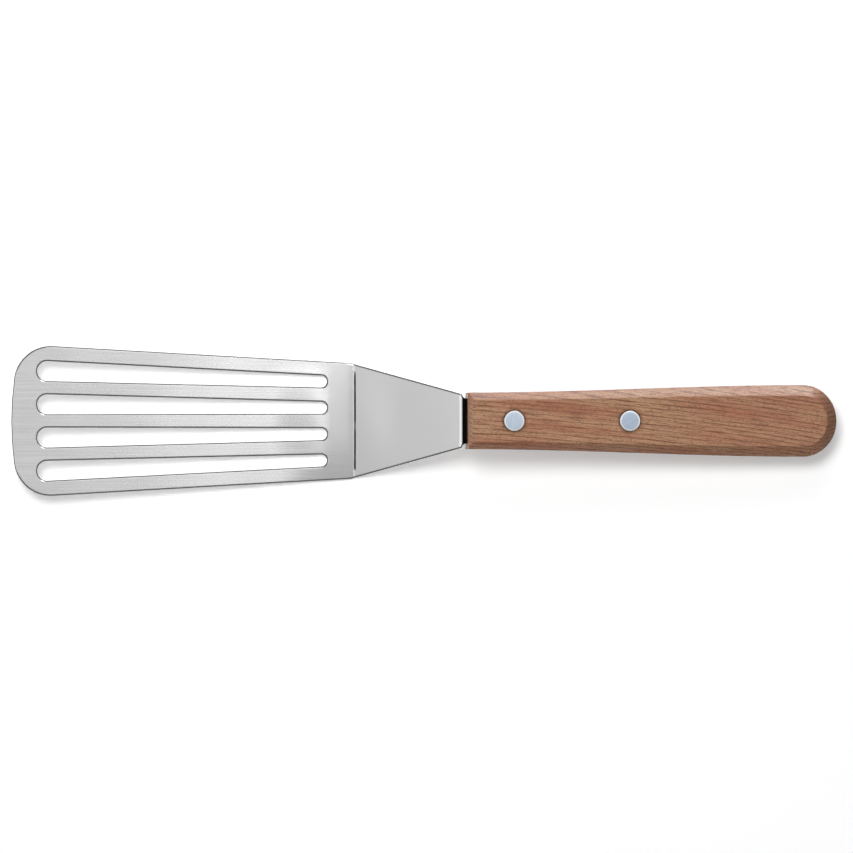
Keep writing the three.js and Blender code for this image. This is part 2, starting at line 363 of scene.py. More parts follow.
@dataclass(frozen=True)
class BrushedStainless:
    """Cold-rolled stainless steel, brushed along the tool with a fine belt.

    The eye gets a pale neutral grey with soft reflections, drawn out across the brush lines, faint straight
    streaks along the blade, rough walls where the punch has cut them, with a painted dark line of shade
    under their deburred edge, and painted black shade in the inner corner of the bend and between the neck
    and the handle.
    """

    slot: str = "steel"
    pale: str = "#e0e0e0"
    dull: str = "#d2d2d2"
    # painted shade: colour of the dark line under the deburred edge
    painted_edge_shade: str = "#2b2a29"
    # painted shade: near-black colour in the bend's inner corner and between the neck and the handle
    painted_shade: str = "#070605"
    roughness: Span = (0.167, 0.178)  # between the streaks and in them
    sheared_roughness: float = 0.4
    anisotropy: float = 0.3
    streak_width: float = 0.32  # real belt lines are about 0.05 mm, too fine to show, and are drawn coarser
    streak_length: float = 45.0
    streak_detail: float = 2.0
    cloud: float = 26.0
    cloud_detail: float = 1.0
    mottle: Span = (0.12, 0.4)  # streaks times clouds, from the dull grey to the pale one
    neck_mottle: float = 0.12  # share of the mottle on the neck, which is the same grey nearly all over
    neck_tone: float = 0.5
    neck_blend: float = 4.0
    relief: float = 0.003
    relief_strength: float = 0.35
    wall_lean: Span = (0.79, 0.7)  # how far a punched wall looks up where it begins, and where it is full
    line_lean: Span = (0.05, 0.3)  # the same for the painted dark line of shade on it, where it ends and where it is full
    low_wall: float = 0.25  # share of the painted dark line's colour on the rest of the wall
    gleam: Span = (0.5, 0.03)  # of bare steel and of painted shade
    # Painted shade in the inner corner of the bend: where it lies and how far it reaches.
    crease_middle: float = 0.15
    crease_reach: float = 0.36
    crease_core: float = 0.7  # share of the reach where the painted shade is densest
    crease_half: float = 16.6  # the painted shade stops short of both ends of the bend
    crease_fade: float = 0.5
    patch: float = 4.545
    patch_detail: float = 2.0
    patch_span: Span = (0.25, 0.5)
    patch_cover: Span = (0.7, 0.97)
    # Painted black shade on the sheet between the neck and the handle starts here.
    strip_start: float = 35.1
    strip_fade: float = 0.08
    upper_lean: Span = (0.2, 0.5)  # how far steel with painted shade looks up, where it begins and where it is full

    def material(self) -> bpy.types.Material:
        """Makes the material.

        Returns:
            The finished material.
        """
        material, tree = new_material("stainless_steel_brushed")
        place = add_node(tree, "Attribute", attribute_name=TOOL_COORDINATES).outputs["Vector"]
        x, y, _ = add_node(tree, "SeparateXYZ", (place,)).outputs
        normal = add_node(tree, "TexCoord").outputs["Normal"]
        up = add_node(tree, "SeparateXYZ", (normal,)).outputs["Z"]
        streaks = drawn_noise(tree, place, self.streak_length, self.streak_width, self.streak_detail,
                              deep=False)
        clouds = add_node(tree, "TexNoise", {"Vector": place, "Scale": 1 / self.cloud,
                                            "Detail": self.cloud_detail})
        mottle = add_node(tree, "Math", (streaks, clouds), operation="MULTIPLY")
        tone = add_node(tree, "MapRange", (mottle, *self.mottle))
        ramp_share = add_node(tree, "MapRange", (x, self.neck_blend, -self.neck_blend, self.neck_mottle, 1.0))
        tone = add_node(tree, "Mix", (ramp_share, self.neck_tone, tone))
        metal = add_node(tree, "Mix", (tone, linear(self.dull), linear(self.pale)), data_type="RGBA")
        brushed = add_node(tree, "MapRange", (streaks, *NOISE_SPAN, *self.roughness))
        level = add_node(tree, "Math", (up,), operation="ABSOLUTE")
        wall = add_node(tree, "MapRange", (level, *self.wall_lean))
        rim = add_node(tree, "MapRange", (up, *self.line_lean, self.low_wall, 1.0))
        line = add_node(tree, "Math", (wall, rim), operation="MULTIPLY")
        # Painted shade: the dark line under the deburred edge, laid over the steel's colour on its walls.
        cut = add_node(tree, "Mix", (line, metal, linear(self.painted_edge_shade)), data_type="RGBA")
        # Painted shade in the bend's corner and between the neck and the handle.
        painted_shade = self._painted_shade(tree, x, y, up)
        painted_dark = add_node(tree, "Math", (line, painted_shade), operation="MAXIMUM")
        shader = add_node(tree, "BsdfPrincipled", {
            "Base Color": add_node(tree, "Mix", (painted_shade, cut, linear(self.painted_shade)), data_type="RGBA"),
            "Metallic": add_node(tree, "MapRange", (painted_dark, 0.0, 1.0, 1.0, 0.0)),
            "Roughness": add_node(tree, "Mix", (wall, brushed, self.sheared_roughness)),
            "Specular IOR Level": add_node(tree, "MapRange", (painted_dark, 0.0, 1.0, *self.gleam)),
            "Anisotropic": self.anisotropy,
            "Tangent": add_node(tree, "Tangent", direction_type="UV_MAP", uv_map=ACROSS_BRUSHING),
            "Normal": add_node(tree, "Bump", {"Height": streaks, "Strength": self.relief_strength,
                                              "Distance": self.relief * MM}),
        })
        add_node(tree, "OutputMaterial", {"Surface": shader})
        return material

    def _painted_shade(self, tree: bpy.types.NodeTree, x: Source, y: Source, up: Source) -> bpy.types.Node:
        """Share of painted shade on the upper face: in the corner of the bend, and next to the handle.

        Args:
            tree: The material's node tree.
            x: The place along the tool.
            y: The place across it.
            up: How far the surface looks up.

        Returns:
            The node that gives the share.
        """
        away = add_node(tree, "Math", (x, self.crease_middle), operation="SUBTRACT")
        away = add_node(tree, "Math", (away,), operation="ABSOLUTE")
        line = add_node(tree, "MapRange", (away, self.crease_reach, self.crease_reach * self.crease_core),
                        interpolation_type="SMOOTHSTEP")
        patchy = add_node(tree, "TexNoise", {"W": y, "Scale": 1 / self.patch, "Detail": self.patch_detail},
                          noise_dimensions="1D")
        cover = add_node(tree, "MapRange", (patchy, *self.patch_span, *self.patch_cover))
        aside = add_node(tree, "Math", (y,), operation="ABSOLUTE")
        inner, outer = self.crease_half - self.crease_fade, self.crease_half + self.crease_fade
        for share in (cover, add_node(tree, "MapRange", (aside, outer, inner))):
            line = add_node(tree, "Math", (line, share), operation="MULTIPLY")
        start, full = self.strip_start - self.strip_fade, self.strip_start + self.strip_fade
        strip = add_node(tree, "MapRange", (x, start, full))
        marks = add_node(tree, "Math", (line, strip), operation="MAXIMUM")
        above = add_node(tree, "MapRange", (up, *self.upper_lean))
        return add_node(tree, "Math", (marks, above), operation="MULTIPLY")


@dataclass(frozen=True)
class OiledFruitwood:
    """Steamed fruitwood, sanded and oiled.

    The eye gets a warm reddish brown with fine dark growth lines nearly along the handle, finer fibres and
    short pores between them, a darker butt, partly end grain that has drunk more oil and partly painted shade
    on the end that faces away from the light, a darker ring round each rivet, and a low sheen.
    """

    slot: str = "wood"
    early: str = "#b88a65"
    late: str = "#74432a"
    pore: str = "#4c2915"
    blush: str = "#ab6d4b"
    ior: float = 1.5
    roughness: Span = (0.35, 0.47)  # between the fibres and on them
    oil_film: Span = (0.5, 0.0)  # on the faces and where the wood is darkened, on the butt and round the rivets
    oil_roughness: float = 0.25
    shine: Span = (0.5, 0.1)  # on the faces and where the wood is darkened, on the butt and round the rivets
    noise_detail: float = 3.0
    ring_width: float = 1.35
    late_rise: Span = (0.55, 0.92)  # shares of a ring over which it darkens
    late_fall: Span = (1.0, 0.93)  # shares over which it ends
    wander: float = 1.8  # how many rings a growth line wanders by
    wander_length: float = 80.0
    wander_width: float = 7.0
    strength_length: float = 30.0
    strength_width: float = 1.8
    strength_span: Span = (0.35, 0.65)
    faintest: float = 0.35  # strength of the faintest growth lines
    fibre_width: float = 0.3  # real fibres are about 0.05 mm, too fine to show, so they are drawn coarser
    fibre_length: float = 8.0
    fibre_tones: Span = (-0.56, 0.78)
    pore_width: float = 0.32
    pore_length: float = 0.8
    pore_span: Span = (0.5, 0.7)
    pore_depth: float = 0.62
    blotch_length: float = 44.0
    blotch_width: float = 5.5
    blotch_span: Span = (0.38, 0.62)
    pith_aside: float = -70.0
    pith_below: float = -35.0
    grain_slant: float = 0.05
    grain_bow: float = 0.0005
    relief: float = 0.02
    relief_strength: float = 0.35
    end_facing: Span = (0.36, 0.85)  # how far the surface looks towards the butt where its darkening begins, and where it is full: partly oiled end grain, partly painted shade
    end_darkening: float = 0.8
    # A darker ring round each rivet: how far it reaches past the recess, and how dark it is.
    rivet_ring_reach: float = 1.1
    rivet_ring_depth: float = 0.5

    def material(self, origin: Vector, rivets: Sequence[float], rivet_edge: float) -> bpy.types.Material:
        """Makes the material.

        Args:
            origin: The middle of the handle's front, in the tool's frame.
            rivets: The rivets' distances from the front.
            rivet_edge: Radius of the recess round a rivet's head.

        Returns:
            The finished material.
        """
        material, tree = new_material("fruitwood_sanded_and_oiled")
        place = add_node(tree, "Attribute", attribute_name=TOOL_COORDINATES).outputs["Vector"]
        inside_handle = add_node(tree, "VectorMath", (place, origin), operation="SUBTRACT")
        grain = self._grain(tree, inside_handle)
        fibres = drawn_noise(tree, grain, self.fibre_length, self.fibre_width, self.noise_detail)
        pores = drawn_noise(tree, grain, self.pore_length, self.pore_width, self.noise_detail)
        pores = add_node(tree, "MapRange", (pores, *self.pore_span))
        blotches = drawn_noise(tree, grain, self.blotch_length, self.blotch_width, self.noise_detail)
        blotches = add_node(tree, "MapRange", (blotches, *self.blotch_span))
        fine = add_node(tree, "MapRange", (fibres, *NOISE_SPAN, *self.fibre_tones))
        dark = add_node(tree, "Math", (self._rings(tree, grain), fine), operation="ADD", use_clamp=True)
        some_pores = add_node(tree, "Math", (pores, self.pore_depth), operation="MULTIPLY")
        # Darkening: on the butt, partly oiled end grain and partly painted shade, and in a ring round each
        # rivet.
        darkening_share = self._darkening_share(tree, inside_handle, rivets, rivet_edge)
        colour: Colour | bpy.types.Node = linear(self.early)
        for share, tint in ((blotches, self.blush), (dark, self.late), (some_pores, self.pore),
                            (darkening_share, self.pore)):
            colour = add_node(tree, "Mix", (share, colour, linear(tint)), data_type="RGBA")
        height = add_node(tree, "Math", (fibres, pores), operation="SUBTRACT")
        shader = add_node(tree, "BsdfPrincipled", {
            "Base Color": colour,
            "Roughness": add_node(tree, "MapRange", (fibres, *NOISE_SPAN, *self.roughness)),
            "IOR": self.ior,
            "Coat Weight": add_node(tree, "MapRange", (darkening_share, 0.0, self.end_darkening, *self.oil_film)),
            "Specular IOR Level": add_node(tree, "MapRange", (darkening_share, 0.0, self.end_darkening, *self.shine)),
            "Coat Roughness": self.oil_roughness,
            "Normal": add_node(tree, "Bump", {"Height": height, "Strength": self.relief_strength,
                                              "Distance": self.relief * MM}),
        })
        add_node(tree, "OutputMaterial", {"Surface": shader})
        return material

    def _grain(self, tree: bpy.types.NodeTree, inside_handle: Source) -> bpy.types.Node:
        """Place in the handle, straightened along its grain, which slants and bows a little.

        Args:
            tree: The material's node tree.
            inside_handle: The place from the middle of the handle's front.

        Returns:
            The node that gives the straightened place.
        """
        x, y, z = add_node(tree, "SeparateXYZ", (inside_handle,)).outputs
        slope = add_node(tree, "Math", (x, self.grain_bow, self.grain_slant), operation="MULTIPLY_ADD")
        aside = add_node(tree, "Math", (x, slope, y), operation="MULTIPLY_ADD")
        return add_node(tree, "CombineXYZ", (x, aside, z))

    def _rings(self, tree: bpy.types.NodeTree, grain: Source) -> bpy.types.Node:
        """Share of dark late wood, from growth rings about a pith outside the handle.

        Args:
            tree: The material's node tree.
            grain: The place along the grain.

        Returns:
            The node that gives the share.
        """
        across = add_node(tree, "VectorMath", (grain, (0.0, 1.0, 1.0)), operation="MULTIPLY")
        pith = (0.0, self.pith_aside, self.pith_below)
        radius = add_node(tree, "VectorMath", (across, pith), operation="DISTANCE")
        wander = drawn_noise(tree, grain, self.wander_length, self.wander_width, self.noise_detail)
        ring = add_node(tree, "Math", (radius, 1 / self.ring_width), operation="MULTIPLY")
        ring = add_node(tree, "Math", (wander, self.wander, ring), operation="MULTIPLY_ADD")
        phase = add_node(tree, "Math", (ring,), operation="FRACT")
        strength = drawn_noise(tree, grain, self.strength_length, self.strength_width, self.noise_detail)
        share = add_node(tree, "MapRange", (strength, *self.strength_span, self.faintest, 1.0))
        for span in (self.late_rise, self.late_fall):
            slope = add_node(tree, "MapRange", (phase, *span), interpolation_type="SMOOTHSTEP")
            share = add_node(tree, "Math", (share, slope), operation="MULTIPLY")
        return share

    def _darkening_share(self, tree: bpy.types.NodeTree, inside_handle: Source, rivets: Sequence[float],
                rivet_edge: float) -> bpy.types.Node:
        """Share of darkening: on the butt, partly end grain that has drunk oil and partly painted shade on
        the end that faces away from the light, and in a ring round each rivet.

        Args:
            tree: The material's node tree.
            inside_handle: The place from the middle of the handle's front.
            rivets: The rivets' distances from the front.
            rivet_edge: Radius of the recess round a rivet's head.

        Returns:
            The node that gives the share.
        """
        normal = add_node(tree, "TexCoord").outputs["Normal"]
        facing = add_node(tree, "SeparateXYZ", (normal,)).outputs["X"]
        # Painted shade, with some darkening of oiled end grain, on surfaces that face towards the butt, away
        # from the light.
        share = add_node(tree, "MapRange", (facing, *self.end_facing, 0.0, self.end_darkening))
        flat = add_node(tree, "VectorMath", (inside_handle, LEVEL), operation="MULTIPLY")
        for rivet in rivets:
            away = add_node(tree, "VectorMath", (flat, (rivet, 0.0, 0.0)), operation="DISTANCE")
            rivet_ring_end = rivet_edge + self.rivet_ring_reach
            rivet_ring = add_node(tree, "MapRange", (away, rivet_ring_end, rivet_edge, 0.0, self.rivet_ring_depth))
            share = add_node(tree, "Math", (share, rivet_ring), operation="MAXIMUM")
        return share


@dataclass(frozen=True)
class GroundAluminium:
    """Aluminium rivet stock, ground flush with the wood and left satin.

    The eye gets a flat pale face, slightly cool, with faint straight grinding lines, and a painted highlight:
    a paler ring at the rim.
    """

    slot: str = "rivet_metal"
    pale: str = "#d3e0ee"
    dull: str = "#c6d4e4"
    # painted highlight: colour of the paler ring at the rim of the head
    rim: str = "#f3f4f5"
    rim_span: Span = (0.715, 0.495)  # distance in from the edge where the painted highlight begins, and where it is full
    roughness: Span = (0.39, 0.29)  # between the grinding lines and in them
    line_width: float = 0.45  # real grinding lines are about 0.05 mm, too fine to show, and are drawn coarser
    line_length: float = 9.0
    line_detail: float = 2.0
    relief: float = 0.002
    relief_strength: float = 0.3

    def material(self, name: str, middle: Vector, head_radius: float, grinding: float) -> bpy.types.Material:
        """Makes the material for one rivet.

        Args:
            name: Which rivet it is for.
            middle: The rivet's middle, in the tool's frame.
            head_radius: Radius of its head.
            grinding: The direction of its grinding lines, as an angle from the tool's length.

        Returns:
            The finished material.
        """
        material, tree = new_material(f"aluminium_ground_satin_{name}")
        place = add_node(tree, "Attribute", attribute_name=TOOL_COORDINATES).outputs["Vector"]
        along_lines = add_node(tree, "VectorRotate", {"Vector": place, "Angle": -grinding},
                               rotation_type="Z_AXIS")
        lines = drawn_noise(tree, along_lines, self.line_length, self.line_width, self.line_detail)
        tone = add_node(tree, "MapRange", (lines, *NOISE_SPAN))
        face = add_node(tree, "Mix", (tone, linear(self.dull), linear(self.pale)), data_type="RGBA")
        flat = add_node(tree, "VectorMath", (place, LEVEL), operation="MULTIPLY")
        away = add_node(tree, "VectorMath", (flat, middle * LEVEL), operation="DISTANCE")
        # Painted highlight: a paler ring round the rim of the head.
        start, full = (head_radius - inset for inset in self.rim_span)
        ramp_share = add_node(tree, "MapRange", (away, start, full), interpolation_type="SMOOTHSTEP")
        shader = add_node(tree, "BsdfPrincipled", {
            "Base Color": add_node(tree, "Mix", (ramp_share, face, linear(self.rim)), data_type="RGBA"),
            "Metallic": 1.0,
            "Roughness": add_node(tree, "MapRange", (lines, *NOISE_SPAN, *self.roughness)),
            "Normal": add_node(tree, "Bump", {"Height": lines, "Strength": self.relief_strength,
                                              "Distance": self.relief * MM}),
        })
        add_node(tree, "OutputMaterial", {"Surface": shader})
        return material


def new_object(name: str, data: bpy.types.ID) -> bpy.types.Object:
    """Puts a mesh, a lamp or a camera into the scene.

    Args:
        name: The object's name.
        data: Its mesh, lamp or camera.

    Returns:
        The object.
    """
    thing = bpy.data.objects.new(name, data)
    bpy.context.scene.collection.objects.link(thing)
    return thing


def closed_mesh(name: str, shape: bmesh.types.BMesh) -> bpy.types.Mesh:
    """Turns a closed shape into a mesh whose faces all look outwards.

    Args:
        name: The mesh's name.
        shape: The shape, which is used up.

    Returns:
        The mesh.
    """
    bmesh.ops.recalc_face_normals(shape, faces=shape.faces)
    mesh = bpy.data.meshes.new(name)
    shape.to_mesh(mesh)
    shape.free()
    return mesh


def skinned(rings: Sequence[Sequence[Point]]) -> bmesh.types.BMesh:
    """Spans a skin from ring to ring and closes both ends.

    Args:
        rings: The points of each ring, with as many in each.

    Returns:
        The closed shape.
    """
    shape = bmesh.new()
    corners = [[shape.verts.new(point) for point in ring] for ring in rings]
    for one, two in zip(corners, corners[1:]):
        for i in range(len(one)):
            shape.faces.new((one[i - 1], one[i], two[i], two[i - 1]))
    shape.faces.new(corners[0])
    shape.faces.new(corners[-1][::-1])
    return shape


def turned(profile: Sequence[Span], sides: int) -> bmesh.types.BMesh:
    """Turns a profile about the z axis.

    Args:
        profile: Radius and height of each point, with both ends on the axis.
        sides: How many sides a turn has.

    Returns:
        The closed shape.
    """
    shape = bmesh.new()
    angles = [2 * math.pi * i / sides for i in range(sides)]
    rings = []
    for radius, height in profile:
        if radius == 0.0:
            rings.append([shape.verts.new((0.0, 0.0, height))] * sides)
        else:
            points = [(radius * math.cos(a), radius * math.sin(a), height) for a in angles]
            rings.append([shape.verts.new(point) for point in points])
    for one, two in zip(rings, rings[1:]):
        for i in range(sides):
            corners = dict.fromkeys((one[i - 1], one[i], two[i], two[i - 1]))
            shape.faces.new(list(corners))
    return shape


def place_mesh(name: str, mesh: bpy.types.Mesh, frame: ToolFrame) -> bpy.types.Object:
    """Notes each point's place in the tool's frame, and puts the mesh in the part's frame.

    Args:
        name: The piece's name.
        mesh: The mesh, in millimetres of the tool's frame.
        frame: Where the tool lies.

    Returns:
        The piece.
    """
    marks = mesh.attributes.new(TOOL_COORDINATES, "FLOAT_VECTOR", "POINT")
    marks.data.foreach_set("vector", [c for v in mesh.vertices for c in v.co])
    mesh.transform(frame.matrix)
    mesh.shade_smooth()
    return new_object(name, mesh)


def even_faces(piece: bpy.types.Object, sharp_angle: float) -> None:
    """Shades flat faces flat and keeps sharp edges sharp, above an angle in degrees."""
    piece.data.set_sharp_from_angle(angle=math.radians(sharp_angle))
    piece.modifiers.new("even_faces", "WEIGHTED_NORMAL").keep_sharp = True


def install(piece: bpy.types.Object, node: str, material: bpy.types.Material) -> bpy.types.Object:
    """Dresses a piece and lets it stand for its CAD node.

    Args:
        piece: The piece.
        node: The CAD node that it replaces.
        material: Its finish.

    Returns:
        The piece.
    """
    piece.data.materials.append(material)
    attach(piece, "root")
    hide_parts(node)
    return piece


@dataclass(frozen=True)
class RivetForm:
    """Sizes of one two-piece cutler's rivet, about its own axis and from the middle of the tang."""

    head_diameter: float = 7.0
    head_height: float = 2.0
    rim_radius: float = 0.25
    rim_steps: int = 6
    face_division: float = 0.45  # share of the head's radius where its face has a ring of points
    face_height: float = 7.45
    sleeve_diameter: float = 4.8
    sleeve_wall: float = 0.8
    sleeve_floor: float = 0.5
    clearance: float = 0.15
    end_clearance: float = 0.2
    sides: int = 72

    @property
    def seat(self) -> float:
        """Height of the underside of a head."""
        return self.face_height - self.head_height

    @property
    def recess_radius(self) -> float:
        """Radius of the recess for a head."""
        return self.head_diameter / 2 + self.clearance

    @property
    def bore_radius(self) -> float:
        """Radius of the hole for the shank."""
        return self.sleeve_diameter / 2 + self.clearance


@dataclass
class KerfedHandle:
    """Wooden handle: one piece with rounded bevels, sawn for the tang and bored for the rivets."""

    profile: SheetProfile
    rivet: RivetForm
    gap: float = 1.4
    length: float = 125.7
    thickness: float = 15.0
    front_width: float = 19.1
    rear_width: float = 24.3
    butt_length: float = 11.5
    bevel_depths: Span = (2.15, 3.1)  # at the front and at the butt
    side_bevel_front: float = 2.4
    side_bevel_rear: float = 3.7
    front_bevel: float = 1.5
    front_setback: float = 0.3
    bevel_turns: tuple[Span, ...] = (  # share of the way down the bevel, and its lean there in degrees
        (0.0, 33.0), (0.06, 37.0), (0.5, 41.0), (0.9, 44.5), (1.0, 80.0))
    saw_radius: float = 60.0
    kerf_clearance: float = 0.2
    tang_past_rivet: float = 12.0
    rivet_places: dict[RivetPlace, float] = field(
        default_factory=lambda: {RivetPlace.FRONT: 15.7, RivetPlace.REAR: 54.9})
    stations: int = 60
    bevel_steps: int = 14
    broken_edge: float = 0.16
    broken_angle: float = 50.0  # edges that turn by more than this are broken
    sharp_angle: float = 17.0
    finish: OiledFruitwood = OiledFruitwood()

    @property
    def origin(self) -> Vector:
        """Middle of the handle's front, in the tool's frame."""
        return Vector((self.profile.neck_run + self.gap, 0.0, self.profile.tang_height))

    @property
    def butt_centre(self) -> float:
        """Where the round of the butt begins, from the front."""
        return self.length - self.butt_length

    @property
    def tang_length(self) -> float:
        """Length of the tang inside the handle."""
        return self.rivet_places[RivetPlace.REAR] + self.tang_past_rivet

    @property
    def kerf_arc_centre(self) -> float:
        """Centre of the saw's curve at the end of the kerf, from the front."""
        return self.tang_length + self.kerf_clearance - self.saw_radius

    def half_width(self, x: float) -> float:
        """Half the handle's width at a distance from its front."""
        return lerp(self.front_width, self.rear_width, smoothstep(x, 0.0, self.butt_centre)) / 2

    def build(self, frame: ToolFrame) -> bpy.types.Object:
        """Makes the handle.

        Args:
            frame: Where the tool lies.

        Returns:
            The piece, without its finish.
        """
        shapes = {"handle_blank": self._blank(), "kerf_cutter": self._kerf()}
        for place, distance in self.rivet_places.items():
            shapes[f"{place.value}_rivet_cutter"] = self._stepped_bore(distance)
        blank, *cutters = [new_object(name, closed_mesh(name, shape)) for name, shape in shapes.items()]
        for cutter in cutters:
            cut = blank.modifiers.new(cutter.name, "BOOLEAN")
            cut.operation = "DIFFERENCE"
            cut.solver = "EXACT"
            cut.object = cutter
        sawn = bpy.data.meshes.new_from_object(blank.evaluated_get(bpy.context.evaluated_depsgraph_get()))
        for spent in [blank, *cutters]:
            bpy.data.objects.remove(spent)
        self._break_edges(sawn)
        sawn.transform(Matrix.Translation(self.origin))
        piece = place_mesh("kerfed_wooden_handle", sawn, frame)
        even_faces(piece, self.sharp_angle)
        return piece

    def dress(self, piece: bpy.types.Object) -> bpy.types.Object:
        """Gives the handle its wood, and lets it stand for the CAD handle.

        Args:
            piece: The handle.

        Returns:
            The same piece.
        """
        places = list(self.rivet_places.values())
        wood = self.finish.material(self.origin, places, self.rivet.recess_radius)
        return install(piece, "handle", wood)

    def _ring(self, share: float) -> list[Vector]:
        """Outline of the handle from above, drawn in by a share of its bevel.

        Args:
            share: The share, from 0 at the side to 1 at the flat.

        Returns:
            The outline's corners.
        """
        half = []
        for i in range(self.stations):
            x = lerp(self.front_setback + share * self.front_bevel, self.butt_centre, i / self.stations)
            bevel = lerp(self.side_bevel_front, self.side_bevel_rear, x / self.butt_centre)
            half.append(Vector((x, self.half_width(x) - share * bevel)))
        drawn_in = share * self.side_bevel_rear
        butt = Vector((self.butt_centre, 0.0))
        half += arc(butt, self.butt_length - drawn_in, math.pi / 2, 0.0, self.rear_width / 2 - drawn_in)
        return half + [Vector((p.x, -p.y)) for p in reversed(half[:-1])]

    def _bevel_lean(self, share: float) -> float:
        """Lean of the bevel's surface from level.

        Args:
            share: The share of the way down the bevel.

        Returns:
            The lean, in degrees.
        """
        for (start, lean), (end, next_lean) in zip(self.bevel_turns, self.bevel_turns[1:]):
            if share <= end:
                return lerp(lean, next_lean, (share - start) / (end - start))
        return self.bevel_turns[-1][1]

    def _bevel_height(self, x: float, drop: float) -> float:
        """Height over the handle's middle, at a distance from the front and a share of the bevel's drop."""
        depth = lerp(*self.bevel_depths, min(1.0, x / self.butt_centre))
        return self.thickness / 2 - drop * depth

    def _blank(self) -> bmesh.types.BMesh:
        """The handle before it is cut: a flat board with a rounded bevel round its upper and lower edges.

        Returns:
            The shape.
        """
        steps = [Vector((0.0, 0.0))]
        for i in range(self.bevel_steps):
            lean = math.radians(self._bevel_lean((i + 0.5) / self.bevel_steps))
            steps.append(steps[-1] + Vector((math.cos(lean), math.sin(lean))))
        levels = [(1 - s.x / steps[-1].x, s.y / steps[-1].y, 1) for s in steps]
        levels += [(share, drop, -1) for share, drop, _ in reversed(levels)]
        return skinned([[(p.x, p.y, side * self._bevel_height(p.x, drop)) for p in self._ring(share)]
                        for share, drop, side in levels])

    def _kerf(self) -> bmesh.types.BMesh:
        """What the saw takes out for the tang, open at the front and at both sides.

        Returns:
            The shape.
        """
        reach = self.rear_width
        half = self.profile.thickness / 2 + self.kerf_clearance
        turn = math.asin(reach / self.saw_radius)
        outline = [Vector((-reach, -reach))]
        outline += arc(Vector((self.kerf_arc_centre, 0.0)), self.saw_radius, -turn, turn)
        outline.append(Vector((-reach, reach)))
        return skinned([[(p.x, p.y, height) for p in outline] for height in (-half, half)])

    def _stepped_bore(self, distance: float) -> bmesh.types.BMesh:
        """What the drill takes out for one rivet: a recess for each head and a bore between them.

        Args:
            distance: The rivet's distance from the front.

        Returns:
            The shape.
        """
        recess, bore = self.rivet.recess_radius, self.rivet.bore_radius
        seat = self.rivet.seat - self.rivet.end_clearance
        past = self.thickness
        profile = [(0.0, -past), (recess, -past), (recess, -seat), (bore, -seat),
                   (bore, seat), (recess, seat), (recess, past), (0.0, past)]
        shape = turned(profile, self.rivet.sides)
        bmesh.ops.translate(shape, verts=shape.verts, vec=(distance, 0.0, 0.0))
        return shape

    def _break_edges(self, mesh: bpy.types.Mesh) -> None:
        """Breaks the sharp edges that the saw and the drill leave, as sanding does.

        Args:
            mesh: The sawn handle, which is changed.
        """
        shape = bmesh.new()
        shape.from_mesh(mesh)
        bmesh.ops.remove_doubles(shape, verts=shape.verts, dist=WELD)
        bmesh.ops.dissolve_degenerate(shape, edges=shape.edges, dist=WELD)
        least = math.radians(self.broken_angle)
        sharp = [e for e in shape.edges if e.is_manifold and e.calc_face_angle() > least]
        bmesh.ops.bevel(shape, geom=sharp, offset=self.broken_edge, offset_type="OFFSET", segments=2,
                        profile=0.5, affect="EDGES", clamp_overlap=True)
        shape.to_mesh(mesh)
        shape.free()


@dataclass
class CutlersRivet:
    """Both halves of one rivet: a post from above, pressed into a sleeve from below."""

    place: RivetPlace
    handle: KerfedHandle
    grinding: float
    finish: GroundAluminium = GroundAluminium()
    sharp_angle: float = 40.0

    @property
    def middle(self) -> Vector:
        """The rivet's place on the middle of the tang, in the tool's frame."""
        return self.handle.origin + Vector((self.handle.rivet_places[self.place], 0.0, 0.0))

    def build(self, frame: ToolFrame) -> dict[RivetHalf, bpy.types.Object]:
        """Makes both halves.

        Args:
            frame: Where the tool lies.

        Returns:
            The pieces, without their finish.
        """
        pieces = {}
        for half in RivetHalf:
            name = f"{self.place.value}_turned_rivet_{half.name.lower()}"
            mesh = closed_mesh(name, turned(self._profile(half), self.handle.rivet.sides))
            mesh.transform(Matrix.Translation(self.middle))
            pieces[half] = place_mesh(name, mesh, frame)
            even_faces(pieces[half], self.sharp_angle)
        return pieces

    def dress(self, pieces: dict[RivetHalf, bpy.types.Object]) -> list[bpy.types.Object]:
        """Gives both halves their metal, and lets them stand for their CAD nodes.

        Args:
            pieces: Both halves.

        Returns:
            The same pieces.
        """
        head_radius = self.handle.rivet.head_diameter / 2
        metal = self.finish.material(self.place.value, self.middle, head_radius, self.grinding)
        return [install(piece, f"{self.place.value}_rivet_{half.name.lower()}", metal)
                for half, piece in pieces.items()]

    def _profile(self, half: RivetHalf) -> list[Span]:
        """Outline of one half, from its face along the axis to the end of its shank.

        Args:
            half: Which half.

        Returns:
            Radius and height of each point.
        """
        form = self.handle.rivet
        head, rim = form.head_diameter / 2, form.rim_radius
        points = [(0.0, form.face_height), (head * form.face_division, form.face_height)]
        for i in range(form.rim_steps + 1):
            turn = math.pi / 2 * i / form.rim_steps
            points.append((head - rim * (1 - math.sin(turn)), form.face_height - rim * (1 - math.cos(turn))))
        points.append((head, form.seat))
        tube = form.sleeve_diameter / 2
        bore = tube - form.sleeve_wall
        end = form.sleeve_floor - form.seat
        if half is RivetHalf.POST:
            shank = bore - form.clearance
            points += [(shank, form.seat), (shank, end + form.end_clearance), (0.0, end + form.end_clearance)]
        else:
            mouth = form.end_clearance - form.seat
            points += [(tube, form.seat), (tube, mouth), (bore, mouth), (bore, -end), (0.0, -end)]
        return [(radius, height * half.value) for radius, height in points]


@dataclass(frozen=True)
class EdgeRing:
    """One ring of points along a deburred edge of the sheet."""

    face: Face
    inset: float  # distance inside the edge, as a share of the deburring's width
    drop: float  # distance below the face, as the same share
    lean: float  # degrees from the way that the face looks to the outside


